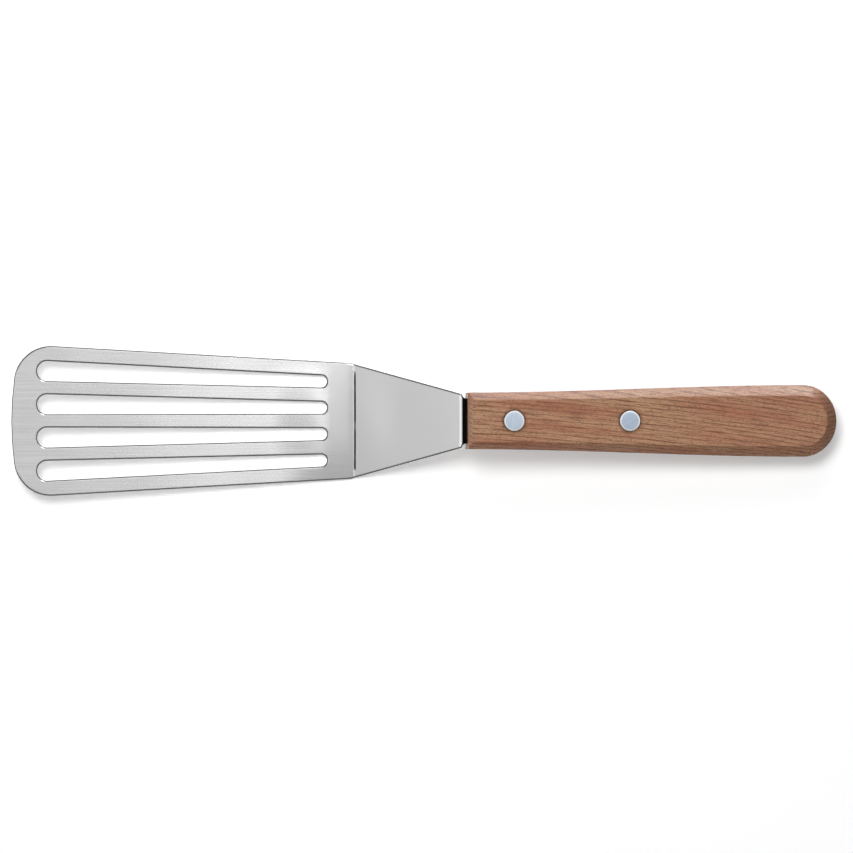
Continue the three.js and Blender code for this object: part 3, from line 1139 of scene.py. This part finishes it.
DEBURRED_EDGE = (
    EdgeRing(Face.TOP, 1.0, 0.0, 0.0),
    EdgeRing(Face.TOP, 0.96, 0.015, 14.0),
    EdgeRing(Face.TOP, 0.91, 0.05, 30.0),
    EdgeRing(Face.TOP, 0.6, 0.3, 36.0),
    EdgeRing(Face.TOP, 0.5, 0.39, 48.0),
    EdgeRing(Face.TOP, 0.2, 0.66, 64.0),
    EdgeRing(Face.TOP, 0.0, 0.92, 90.0),
    EdgeRing(Face.UNDERSIDE, 0.0, 1.0, 90.0),
    EdgeRing(Face.UNDERSIDE, 0.13, 0.5, 60.0),
    EdgeRing(Face.UNDERSIDE, 0.5, 0.13, 30.0),
    EdgeRing(Face.UNDERSIDE, 1.0, 0.0, 0.0),
)


@dataclass
class SlottedSheet:
    """Blade, neck and tang: one sheet that is stamped, slotted, bent and deburred."""

    profile: SheetProfile
    handle: KerfedHandle
    tip_width: float = 52.4
    heel_width: float = 39.4
    tip_edge_radius: float = 110.0
    tip_corner_radius: float = 12.5
    box_clearance: float = 0.02
    slot_count: int = 4
    slot_tip_centre: float = 12.1
    slot_heel_centre: float = 11.4
    rim_widths: Span = (5.2, 4.8)  # outer bar, at the slots' wide and narrow ends
    bar_widths: Span = (4.5, 4.9)  # bar between two slots
    neck_end_width: float = 18.1
    heel_corner_setback: float = 1.3
    relief_radius: float = 1.35
    corner_radius: float = 0.7  # where the neck and the tang meet a bend relief
    tang_inset: float = 0.25
    tang_steps: int = 16
    tang_start: float = 0.1  # first point of the tang's side past its corner
    top_deburring: float = 0.54  # width of the edge that the belt breaks
    underside_deburring: float = 0.16
    crown: float = 0.64  # rise of the sheet's middle at the heel, from the strain of the bend
    crown_start: float = -29.5
    crown_top: float = -8.8
    crown_end: float = 16.0
    dent: float = 0.018  # depth that the press has sunk the upper face by at the bend line
    dent_run: float = 2.7
    dent_rows: tuple[float, ...] = (0.4, 0.6, 0.8, 1.0)  # shares of that run with a row of points
    spring: float = 0.007  # slope that the blade has sprung up by, towards its tip
    spring_start: float = -17.0
    spring_end: float = -60.0
    neck_crown: float = 0.22  # rise of the neck's middle, along it
    longest_side: float = 2.2
    grid: float = 2.4
    row_start: float = 3.4  # first row of points, from the slots' ends
    row_end: float = 0.4  # last row, from the handle
    row_margin: float = 1.4  # keeps the rows clear of the deburred edge
    row_gap: float = 0.8  # least distance between two rows, apart from those in a bend
    finish: BrushedStainless = BrushedStainless()
    _points: list[Vector] = field(init=False, default_factory=list)
    _normals: list[Vector] = field(init=False, default_factory=list)
    _unrolled: list[Span] = field(init=False, default_factory=list)

    @property
    def taper(self) -> float:
        """How much each side edge comes in along the blade."""
        return (self.tip_width - self.heel_width) / 2 / self.profile.blade_length

    def half_width(self, x: float) -> float:
        """Half the blade's width at a place along it, with the finer corners kept inside the CAD box."""
        return self.heel_width / 2 - x * self.taper - self.box_clearance

    def build(self, frame: ToolFrame) -> bpy.types.Object:
        """Makes the sheet.

        Args:
            frame: Where the tool lies.

        Returns:
            The piece, without its finish.
        """
        stations = self.profile.stations(Face.TOP) + self.profile.stations(Face.UNDERSIDE)
        faces: list[Sequence[int]] = []
        rims: dict[Face, list[list[int]]] = {face: [] for face in Face}
        for loop in [self._outline(), *self._holes()]:
            rings = self._edge_rings(divided(loop, self.longest_side, stations))
            rims[Face.TOP].append(rings[0])
            rims[Face.UNDERSIDE].append(rings[-1])
            for upper, lower in zip(rings, rings[1:]):
                faces += [(upper[i - 1], lower[i - 1], lower[i], upper[i]) for i in range(len(upper))]
        for face in Face:
            faces += self._fill(face, rims[face])
        mesh = bpy.data.meshes.new("sheet")
        mesh.from_pydata(self._points, [], faces)
        layer = mesh.uv_layers.new(name=ACROSS_BRUSHING)
        corners = [loop.vertex_index for loop in mesh.loops]
        layer.data.foreach_set("uv", [c for i in corners for c in self._unrolled[i]])
        piece = place_mesh("slotted_steel_sheet", mesh, frame)
        mesh.normals_split_custom_set_from_vertices([frame.turn @ n for n in self._normals])
        return piece

    def dress(self, piece: bpy.types.Object) -> bpy.types.Object:
        """Gives the sheet its steel, and lets it stand for the CAD blade."""
        return install(piece, "blade", self.finish.material())

    def _outline(self) -> list[Vector]:
        """Outer outline of the sheet from above.

        Returns:
            The outline's corners, counter-clockwise.
        """
        front = Vector((self.tip_edge_radius - self.profile.blade_length, 0.0))
        side_angle = math.atan(self.taper)
        reach = self.tip_edge_radius - self.tip_corner_radius
        side = self.half_width(front.x) - self.tip_corner_radius / math.cos(side_angle)
        a, b, c = 1 + self.taper ** 2, -self.taper * side, side ** 2 - reach ** 2
        along = (-b - math.sqrt(b ** 2 - a * c)) / a
        corner = Vector((front.x + along, side - self.taper * along))
        meeting = math.atan2(corner.y, corner.x - front.x)
        upper = arc(front, self.tip_edge_radius, math.pi, meeting)
        upper += arc(corner, self.tip_corner_radius, meeting, math.pi / 2 - side_angle)[1:]
        heel = Vector((-self.heel_corner_setback, self.half_width(-self.heel_corner_setback)))
        relief = Vector((self.handle.origin.x, self.neck_end_width / 2))
        neck_end = relief - Vector((self.relief_radius, 0.0))
        tang_side = Vector((relief.x, self.handle.half_width(0.0) - self.tang_inset))
        before, start = self._corner(relief, neck_end, (heel - neck_end).normalized())
        after, end = self._corner(relief, tang_side, Vector((1.0, 0.0)))
        upper += [heel, *before, *arc(relief, self.relief_radius, start, end)[1:-1]]
        upper += [*reversed(after), *self._tang()]
        lower = [Vector((p.x, -p.y)) for p in upper[1:-1]]
        return [upper[0], *lower, *upper[:0:-1]]

    def _corner(self, relief: Vector, edge: Vector, way: Vector) -> tuple[list[Vector], float]:
        """Rounds the corner between an edge of the sheet and a bend relief.

        Args:
            relief: The relief's centre.
            edge: A point on the edge.
            way: The direction of the edge, away from the relief.

        Returns:
            The corner's points, from the edge to the relief, and the angle on the relief where it ends.
        """
        inward = Vector((way.y, -way.x)) * math.copysign(1.0, way.x)
        start = edge + inward * self.corner_radius - relief
        reach = self.relief_radius + self.corner_radius
        along = math.sqrt(start.dot(way) ** 2 - start.length_squared + reach ** 2) - start.dot(way)
        centre = relief + start + way * along
        back = relief - centre
        first, last = math.atan2(-inward.y, -inward.x), math.atan2(back.y, back.x)
        return arc(centre, self.corner_radius, first, last), math.atan2(-back.y, -back.x) % (2 * math.pi)

    def _tang(self) -> list[Vector]:
        """Upper half of the tang's outline, which follows the handle's side and ends in the saw's curve.

        Returns:
            The points, from the handle's front on.
        """
        handle = self.handle
        radius = handle.saw_radius - handle.kerf_clearance
        turn = math.asin((handle.half_width(handle.tang_length) - self.tang_inset) / radius)
        first = self.relief_radius + self.corner_radius + self.tang_start
        last = handle.kerf_arc_centre + radius * math.cos(turn)
        places = [lerp(first, last, i / self.tang_steps) for i in range(self.tang_steps)]
        sides = [Vector((handle.origin.x + x, handle.half_width(x) - self.tang_inset)) for x in places]
        return sides + arc(Vector((handle.origin.x + handle.kerf_arc_centre, 0.0)), radius, turn, 0.0)

    def _holes(self) -> list[list[Vector]]:
        """Drain slots and rivet holes.

        Returns:
            The corners of each, clockwise.
        """
        ends = ((self.slot_tip_centre - self.profile.blade_length, math.pi / 2),
                (-self.slot_heel_centre, -math.pi / 2))
        holes = []
        for index in range(self.slot_count):
            outline = []
            for (x, start), rim, bar in zip(ends, self.rim_widths, self.bar_widths):
                width = (2 * (self.half_width(x) - rim) - (self.slot_count - 1) * bar) / self.slot_count
                middle = (index - (self.slot_count - 1) / 2) * (width + bar)
                outline += arc(Vector((x, middle)), width / 2, start, start + math.pi)
            holes.append(outline[::-1])
        for place in self.handle.rivet_places.values():
            middle = Vector((self.handle.origin.x + place, 0.0))
            holes.append(arc(middle, self.handle.rivet.bore_radius, 2 * math.pi, 0.0)[1:])
        return holes

    def _rise(self, x: float, y: float) -> float:
        """Rise of the real sheet over its ideal form.

        Args:
            x: The place along the tool.
            y: The place across it.

        Returns:
            The rise, from the crown at the heel, the blade's spring and the neck's crown.
        """
        fading = 1 - smoothstep(x, 0.0, self.crown_end)
        crown = smoothstep(x, self.crown_start, self.crown_top) * max(0.0, 1 - (y / self.half_width(x)) ** 2)
        run = self.spring_start - self.spring_end
        share = min(1.0, max(0.0, (self.spring_start - x) / run))
        spring = max(0.0, -max(x, self.spring_start)) + run * (share - share ** 3 + share ** 4 / 2)
        neck = max(0.0, 1 - (2 * x / self.profile.neck_run - 1) ** 2)
        return self.crown * crown * fading + self.spring * spring + self.neck_crown * neck

    def _height(self, face: Face, x: float, y: float) -> float:
        """Height of one face of the real sheet above the blade's underside, at a place on it."""
        sunk = max(0.0, 1 - abs(x) / self.dent_run) ** 2 if face is Face.TOP else 0.0
        return self.profile.section(face, x) + self._rise(x, y) - self.dent * sunk

    def _face_normal(self, face: Face, x: float, y: float) -> Vector:
        """Direction that one face looks in at a place on it.

        Args:
            face: The face.
            x: The place along the tool.
            y: The place across it.

        Returns:
            The direction, of length 1.
        """
        along = (self._height(face, x + PROBE, y) - self._height(face, x - PROBE, y)) / (2 * PROBE)
        across = (self._height(face, x, y + PROBE) - self._height(face, x, y - PROBE)) / (2 * PROBE)
        return (Vector((-along, -across, 1.0)) * face.value).normalized()

    def _add_point(self, point: Vector, normal: Vector, unrolled: Vector) -> int:
        """Adds a point of the mesh.

        Args:
            point: Its place.
            normal: The direction that the surface looks in there.
            unrolled: Its place in the unrolled sheet.

        Returns:
            Its number.
        """
        self._points.append(point)
        self._normals.append(normal)
        self._unrolled.append((unrolled.y / UNROLLED_UNIT, -unrolled.x / UNROLLED_UNIT))
        return len(self._points) - 1

    def _edge_rings(self, loop: Sequence[Vector]) -> list[list[int]]:
        """Rounded edge of the sheet along one outline.

        Args:
            loop: The outline, with the sheet on the left of its direction of travel.

        Returns:
            Numbers of the points in each ring, from the top face to the underside.
        """
        normals = outward(loop)
        rings = []
        for step in DEBURRED_EDGE:
            face, lean = step.face, math.radians(step.lean)
            width = self.top_deburring if face is Face.TOP else self.underside_deburring
            drop = width * step.drop
            ring = []
            for corner, normal in zip(loop, normals):
                flat = corner - normal * width * step.inset
                height = self._height(face, flat.x, flat.y) - face.value * drop
                away = normal.normalized().to_3d() * math.sin(lean)
                look = self._face_normal(face, flat.x, flat.y) * math.cos(lean) + away
                spread = flat + normal * (drop if face is Face.TOP else 2 * self.profile.thickness - drop)
                ring.append(self._add_point(Vector((flat.x, flat.y, height)), look.normalized(), spread))
            rings.append(ring)
        return rings

    def _fill(self, face: Face, rims: Sequence[Sequence[int]]) -> list[tuple[int, ...]]:
        """Fills one face of the sheet between the rims of its outlines.

        Args:
            face: The face.
            rims: Numbers of the points in each rim, the outer one first.

        Returns:
            The triangles, by the numbers of their points.
        """
        flat: list[Vector] = []
        numbers: list[int | None] = []
        edges: list[Span] = []
        areas: list[list[int]] = []
        for rim in rims:
            corners = list(range(len(flat), len(flat) + len(rim)))
            areas.append(corners[::-1] if areas else corners)
            flat += [self._points[i].to_2d() for i in rim]
            numbers += rim
        for row in self._rows(face):
            edges += [(len(flat) + i, len(flat) + i + 1) for i in range(len(row) - 1)]
            flat += row
            numbers += [None] * len(row)
        points, _, triangles, origins, _, within = delaunay_2d_cdt(flat, edges, areas, 0, FILL_WELD)
        found: list[int] = []
        for point, origin in zip(points, origins):
            known = next((numbers[i] for i in origin if numbers[i] is not None), None)
            if known is None:
                place = Vector((point.x, point.y, self._height(face, point.x, point.y)))
                known = self._add_point(place, self._face_normal(face, point.x, point.y), point)
            found.append(known)
        solid = [triangle for triangle, area in zip(triangles, within) if list(area) == [0]]
        return [tuple(found[i] for i in triangle)[::face.value] for triangle in solid]

    def _rows(self, face: Face) -> list[list[Vector]]:
        """Rows of points across the heel and the neck, so that the fill follows the bends and the crown.

        Args:
            face: The face of the sheet.

        Returns:
            The points of each row.
        """
        neck_end = self.handle.origin.x
        start, end = self.row_start - self.slot_heel_centre, neck_end - self.row_end
        count = math.ceil((end - start) / self.grid)
        places = set(self.profile.stations(face))
        places |= {-self.dent_run * share for share in self.dent_rows}
        for i in range(count + 1):
            x = lerp(start, end, i / count)
            if min(abs(x - p) for p in places) > self.row_gap:
                places.add(x)
        rows = []
        for x in sorted(places):
            share = min(1.0, max(0.0, x / neck_end))
            edge = lerp(self.half_width(min(x, 0.0)), self.neck_end_width / 2, share) - self.row_margin
            if x > neck_end - self.relief_radius - self.row_margin:
                edge = self.neck_end_width / 2 - self.relief_radius - self.row_margin
            steps = max(2, math.ceil(2 * edge / self.grid))
            rows.append([Vector((x, lerp(-edge, edge, i / steps))) for i in range(steps + 1)])
        return rows


@dataclass(frozen=True)
class Card:
    """A curved card of the studio that only shows in reflections: a white one lights, a black one darkens."""

    name: str
    along: Span  # where it starts and ends, in degrees from overhead towards +X
    across: Span  # the same towards +Y
    radiance: float
    distance: float = 2.4
    bend: float = 6.0  # degrees that one flat of it spans

    def build(self) -> bpy.types.Object:
        """Hangs the card over the tool, at one distance all over.

        Returns:
            The card.
        """
        rows, columns = (math.ceil((high - low) / self.bend) for low, high in (self.along, self.across))
        corners = []
        for i in range(rows + 1):
            for j in range(columns + 1):
                tilt_x = math.radians(lerp(*self.along, i / rows))
                tilt_y = math.radians(lerp(*self.across, j / columns))
                way = Vector((math.sin(tilt_x) * math.cos(tilt_y), math.sin(tilt_y),
                              math.cos(tilt_x) * math.cos(tilt_y)))
                corners.append(way * self.distance)
        width = columns + 1
        starts = [i * width + j for i in range(rows) for j in range(columns)]
        mesh = bpy.data.meshes.new(self.name)
        mesh.from_pydata(corners, [], [(s, s + width, s + width + 1, s + 1) for s in starts])
        card = new_object(self.name, mesh)
        material, tree = new_material(self.name)
        glow = add_node(tree, "Emission", {"Strength": self.radiance})
        add_node(tree, "OutputMaterial", {"Surface": glow})
        mesh.materials.append(material)
        card.visible_camera = card.visible_diffuse = card.visible_shadow = False
        return card


@dataclass(frozen=True)
class Softbox:
    """A soft lamp that lights the wood and the floor, and does not show in the metal."""

    name: str
    place: Point
    size: float
    power: float
    casts_shadow: bool = True

    def build(self) -> bpy.types.Object:
        """Hangs the lamp and turns it to the tool.

        Returns:
            The lamp.
        """
        data = bpy.data.lights.new(self.name, "AREA")
        data.size = self.size
        data.energy = self.power
        data.use_shadow = self.casts_shadow
        lamp = new_object(self.name, data)
        lamp.location = self.place
        lamp.rotation_euler = (-Vector(self.place)).to_track_quat("-Z", "Y").to_euler()
        lamp.visible_camera = lamp.visible_glossy = False
        return lamp


@dataclass
class Studio:
    """Plain pale floor, soft light from above and behind, cards for the metal, and the camera overhead."""

    camera_height: float = 1.5
    camera_aside: Span = (0.00096, -0.00188)
    camera_reach: float = 50.0
    lens: float = 185.4
    floor_half: float = 6.0
    floor_drop: float = 0.05  # millimetres below the tool
    floor_colour: str = "#e4e4e4"
    floor_lift: float = 0.41
    fill: float = 0.06
    softboxes: tuple[Softbox, ...] = (
        Softbox("key_light", (-0.2, 0.38, 1.39), 0.45, 15.3),
        Softbox("side_fill", (0.0, 1.2, 0.75), 0.8, 5.0, casts_shadow=False),
    )
    cards: tuple[Card, ...] = (
        Card("camera_gap", (-16.0, 4.4), (-3.5, 30.0), 0.82),
        Card("neck_card_low", (-58.0, -44.0), (-16.0, 0.0), 0.7),
        Card("neck_card_high", (-58.0, -44.0), (0.0, 16.0), 0.84),
        Card("neck_edge_card", (-44.0, -17.0), (-16.0, 16.0), 1.3),
        Card("overhead_strip", (4.4, 7.5), (-3.5, 7.0), 1.85),
        Card("bright_strip", (4.4, 7.5), (7.0, 42.0), 3.3),
        Card("dim_strip", (7.5, 10.5), (-3.5, 42.0), 0.2),
        Card("handle_card", (10.5, 40.0), (-3.5, 42.0), 0.95),
        Card("side_panel", (-20.0, 36.0), (42.0, 89.5), 1.15),
        Card("side_strip", (36.0, 82.0), (54.0, 89.5), 7.6),
        Card("dark_side", (-88.0, 88.0), (-81.0, -18.0), 0.3),
        Card("low_side", (-88.0, 88.0), (-89.5, -81.0), 2.4),
        Card("shoulder", (-16.0, 40.0), (-18.0, -3.5), 0.53),
        Card("dark_tip", (-64.0, -58.0), (-18.0, 18.0), 0.4),
        Card("tip_card", (-88.0, -64.0), (-18.0, 18.0), 1.3),
        Card("dark_corner", (-88.0, -20.0), (18.0, 84.0), 0.35),
        Card("dark_butt", (45.0, 88.0), (-18.0, 42.0), 0.6),
    )

    def build(self) -> None:
        """Sets up the floor, the light, the cards and the camera."""
        self._floor()
        self._world()
        for prop in (*self.softboxes, *self.cards):
            prop.build()
        data = bpy.data.cameras.new("overhead_camera")
        data.lens = self.lens
        data.clip_end = self.camera_reach
        camera = new_object("overhead_camera", data)
        camera.location = (*self.camera_aside, self.camera_height)
        scene = bpy.context.scene
        scene.camera = camera
        scene.view_settings.view_transform = "Standard"

    def _shown(self, tree: bpy.types.NodeTree) -> bpy.types.Node:
        """Tells what is seen, directly or in metal, from what only lights.

        Args:
            tree: The node tree that asks.

        Returns:
            The node that gives 1 for what is seen.
        """
        path = add_node(tree, "LightPath").outputs
        seen = path["Is Camera Ray"]
        for way in ("Is Glossy Ray", "Is Transmission Ray"):
            seen = add_node(tree, "Math", (seen, path[way]), operation="MAXIMUM")
        return seen

    def _floor(self) -> None:
        """Lays the floor. From below it is clear, so that the underside of the tool can be looked at."""
        half = self.floor_half
        corners = [(-half, -half, 0), (half, -half, 0), (half, half, 0), (-half, half, 0)]
        mesh = bpy.data.meshes.new("pale_floor")
        mesh.from_pydata(corners, [], [(0, 1, 2, 3)])
        floor = new_object("pale_floor", mesh)
        floor.location.z = -self.floor_drop * MM
        material, tree = new_material("white_paper_sweep")
        lift = add_node(tree, "Math", (self._shown(tree), self.floor_lift), operation="MULTIPLY")
        paper = add_node(tree, "BsdfPrincipled", {
            "Base Color": linear(self.floor_colour),
            "Roughness": 1.0,
            "Specular IOR Level": 0.0,
            "Emission Strength": lift,
            "Emission Color": linear(WHITE),
        })
        below = add_node(tree, "NewGeometry").outputs["Backfacing"]
        sided = add_node(tree, "MixShader", (below, paper, add_node(tree, "BsdfTransparent")))
        add_node(tree, "OutputMaterial", {"Surface": sided})
        mesh.materials.append(material)

    def _world(self) -> None:
        """Makes the room: white where it is seen, dimmer as a light."""
        world = bpy.data.worlds.new("white_room")
        world.use_nodes = True
        tree = world.node_tree
        tree.nodes.clear()
        strength = add_node(tree, "MapRange", (self._shown(tree), 0.0, 1.0, self.fill, 1.0))
        room = add_node(tree, "Background", {"Strength": strength, "Color": linear(WHITE)})
        add_node(tree, "OutputWorld", {"Surface": room})
        bpy.context.scene.world = world


def rest_frame(profile: SheetProfile, handle: KerfedHandle, tip: float) -> ToolFrame:
    """Works out how the tool lies at rest, on the heel of its blade and the butt of its handle.

    Args:
        profile: The sheet from the side.
        handle: The handle.
        tip: Where the CAD model has the blade's tip, in metres along X.

    Returns:
        Where the tool lies.
    """
    heel, radius = profile.heel_bend, profile.outer_radius
    butt = Vector((handle.origin.x + handle.length - handle.side_bevel_rear,
                   profile.tang_height - handle.thickness / 2))
    reach = Vector((butt.x - heel.x, heel.y - butt.y))
    tilt = math.atan2(reach.x, reach.y) - math.acos(radius / reach.length)
    lift = radius - (heel.y * math.cos(tilt) - heel.x * math.sin(tilt))
    return ToolFrame(tilt, Vector((tip + profile.blade_length * math.cos(tilt) * MM, 0.0, lift * MM)))


def main() -> None:
    """Builds the pieces round the CAD model, dresses them and sets up the studio."""
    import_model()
    profile, rivet = SheetProfile(), RivetForm()
    handle = KerfedHandle(profile, rivet)
    sheet = SlottedSheet(profile, handle)
    frame = rest_frame(profile, handle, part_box("blade")[0].x)
    pieces = [sheet.dress(sheet.build(frame)), handle.dress(handle.build(frame))]
    duller = GroundAluminium(pale="#c2d1e3", dull="#b6c5d9")
    fasteners = (CutlersRivet(RivetPlace.FRONT, handle, grinding=math.radians(80)),
                 CutlersRivet(RivetPlace.REAR, handle, grinding=math.radians(28), finish=duller))
    for fastener in fasteners:
        pieces += fastener.dress(fastener.build(frame))
    for piece in pieces:
        LOG.info("%s: %d faces", piece.name, len(piece.data.polygons))
    Studio().build()


if __name__ == "__main__":
    logging.basicConfig(level=logging.INFO, format="%(name)s: %(message)s")
    main()
